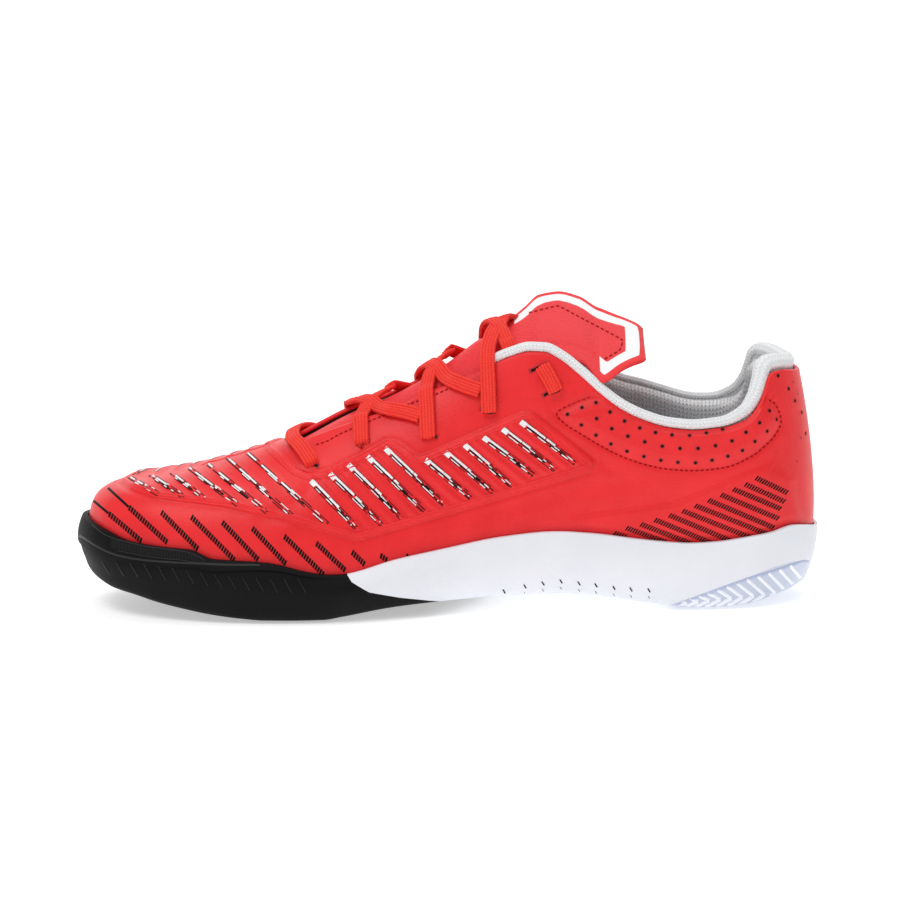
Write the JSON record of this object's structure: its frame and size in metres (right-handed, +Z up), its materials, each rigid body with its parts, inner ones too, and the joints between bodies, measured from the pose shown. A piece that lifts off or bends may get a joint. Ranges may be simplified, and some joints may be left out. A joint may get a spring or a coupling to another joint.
{
  "type": "indoor soccer shoe",
  "caption": "Low-cut indoor soccer shoe with a ribbed synthetic upper, flat laces, a padded tongue and collar, and a flat cup sole with rubber under the forefoot and heel.",
  "frame": {"origin": "on the floor, in the middle of the shoe's length and width", "axes": "+Z up, +X along the shoe from the toe towards the heel, so the inner side of this right shoe faces -Y"},
  "size_m": [0.2899, 0.1014, 0.1172],
  "materials": {
    "upper_red": "satin synthetic leather, fine grain",
    "tongue_red": "soft padded synthetic leather",
    "lace_red": "flat woven polyester lace",
    "rubber_black": "matt moulded rubber",
    "foam_white": "smooth moulded foam, satin",
    "rubber_clear": "pale translucent rubber, satin",
    "knit_white": "soft knit",
    "mesh_grey": "spacer mesh",
    "insole_grey": "brushed fabric over foam"
  },
  "bodies": {
    "root": {"upper": "upper_red", "quarter_panel_inner": "upper_red", "quarter_panel_outer": "upper_red", "outsole_forefoot": "rubber_black", "midsole": "foam_white", "outsole_heel": "rubber_clear", "insole": "insole_grey", "collar_lining": "mesh_grey", "collar_binding": "knit_white", "tongue": "tongue_red", "lace_bar": "lace_red", "lace_crossing_1": "lace_red", "lace_crossing_2": "lace_red", "lace_crossing_3": "lace_red", "lace_end_inner": "lace_red", "lace_end_outer": "lace_red"}
  },
  "joints": []
}
